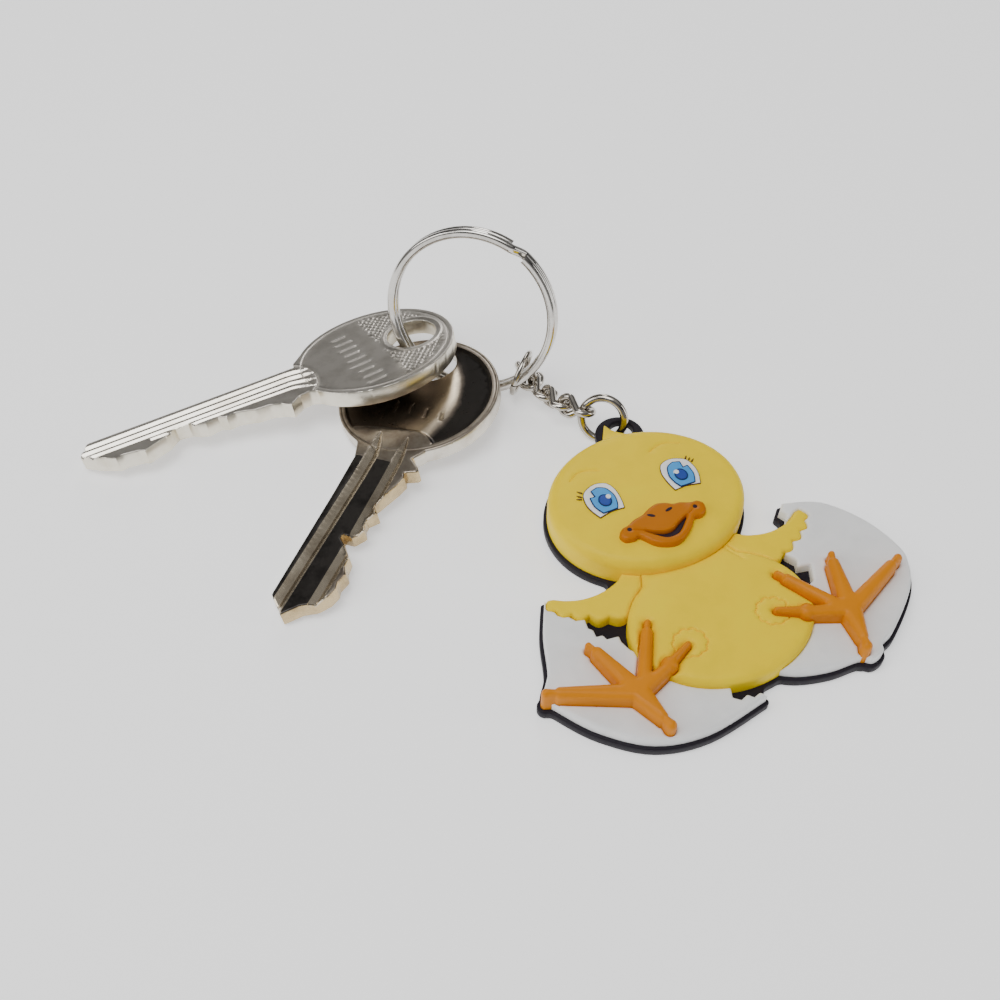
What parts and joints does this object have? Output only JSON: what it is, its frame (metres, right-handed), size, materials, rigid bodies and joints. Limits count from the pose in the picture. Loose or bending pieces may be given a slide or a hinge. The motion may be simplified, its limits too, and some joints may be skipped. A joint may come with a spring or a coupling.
{
  "type": "keychain",
  "caption": "Flat layered soft-PVC chick charm on a short twisted-link chain with a split ring holding cylinder keys.",
  "frame": {"origin": "middle of the charm's flat back face, midway between its head ellipse's sides", "axes": "+Z out of the charm's face, +Y from feet to head, +X to the viewer's right when the face is seen upright"},
  "size_m": [0.1041, 0.0908, 0.0269],
  "materials": {
    "black_pvc": "satin",
    "white_pvc": "satin",
    "yellow_pvc": "satin",
    "orange_pvc": "satin",
    "beak_pvc": "satin",
    "dark_pvc": "satin",
    "sky_pvc": "satin",
    "navy_pvc": "satin",
    "nickel_wire": "polished nickel plating",
    "chrome_ring": "polished nickel plating",
    "nickel_key": "nickel-plated brass, fine brushed",
    "worn_key": "worn nickel-plated brass"
  },
  "bodies": {
    "charm": {"backing_plate": "black_pvc", "shell_left": "white_pvc", "shell_right": "white_pvc", "torso": "yellow_pvc", "wing_left": "yellow_pvc", "wing_right": "yellow_pvc", "leg_left": "orange_pvc", "leg_right": "orange_pvc", "head": "yellow_pvc", "hair_tuft": "yellow_pvc", "beak": "beak_pvc", "mouth": "dark_pvc", "nostrils": "dark_pvc", "eye_white_left": "white_pvc", "eye_white_right": "white_pvc", "iris_left": "sky_pvc", "iris_right": "sky_pvc", "pupil_left": "navy_pvc", "pupil_right": "navy_pvc", "highlight_left": "white_pvc", "highlight_right": "white_pvc"},
    "tab_ring": {"tab_ring": "nickel_wire"},
    "link_4": {"curb_link_4": "nickel_wire"},
    "link_3": {"curb_link_3": "nickel_wire"},
    "link_2": {"curb_link_2": "nickel_wire"},
    "link_1": {"curb_link_1": "nickel_wire"},
    "connector": {"ring_connector": "nickel_wire"},
    "ring": {"split_ring": "chrome_ring"},
    "key_long": {"key_long": "nickel_key"},
    "key_short": {"key_short": "worn_key"}
  },
  "joints": [
    {"name": "tab_ring_swing", "type": "hinge", "parent": "charm", "child": "tab_ring", "pos_m": [0.004, 0.02335, 0.0027], "axis": [0, 0, 1], "range_deg": [-30, 0]},
    {"name": "link_4_swing", "type": "hinge", "parent": "tab_ring", "child": "link_4", "pos_m": [-0.00033, 0.02827, 0.0044], "axis": [0.4274, 0.1714, 0.8877], "range_deg": [0, 6]},
    {"name": "link_3_swing", "type": "hinge", "parent": "link_4", "child": "link_3", "pos_m": [-0.00256, 0.03159, 0.00367], "axis": [0.2147, 0.2907, 0.9324], "range_deg": [0, 6]},
    {"name": "link_2_swing", "type": "hinge", "parent": "link_3", "child": "link_2", "pos_m": [-0.00348, 0.03547, 0.00272], "axis": [0.0681, 0.2456, 0.967], "range_deg": [0, 6]},
    {"name": "link_1_swing", "type": "hinge", "parent": "link_2", "child": "link_1", "pos_m": [-0.00404, 0.03941, 0.00224], "axis": [0.0723, 0.1504, 0.986], "range_deg": [0, 6]},
    {"name": "connector_slide", "type": "hinge", "parent": "link_1", "child": "connector", "pos_m": [-0.00577, 0.03964, 0.00444], "axis": [-0.6898, 0.6938, 0.2069], "range_deg": [0, 25]},
    {"name": "split_ring_slide", "type": "hinge", "parent": "connector", "child": "ring", "pos_m": [-0.0113, 0.0465, 0.0135], "axis": [-0.6099, -0.7399, 0.284], "range_deg": [-75, 0]},
    {"name": "key_long_swing", "type": "hinge", "parent": "ring", "child": "key_long", "pos_m": [-0.0195, 0.0519, 0.0063], "axis": [-0.0827, 0.2227, 0.9714], "range_deg": [0, 45]},
    {"name": "key_short_swing", "type": "hinge", "parent": "ring", "child": "key_short", "pos_m": [-0.01805, 0.04767, 0.00325], "axis": [-0.121, 0.077, 0.9897], "range_deg": [0, 7]}
  ]
}
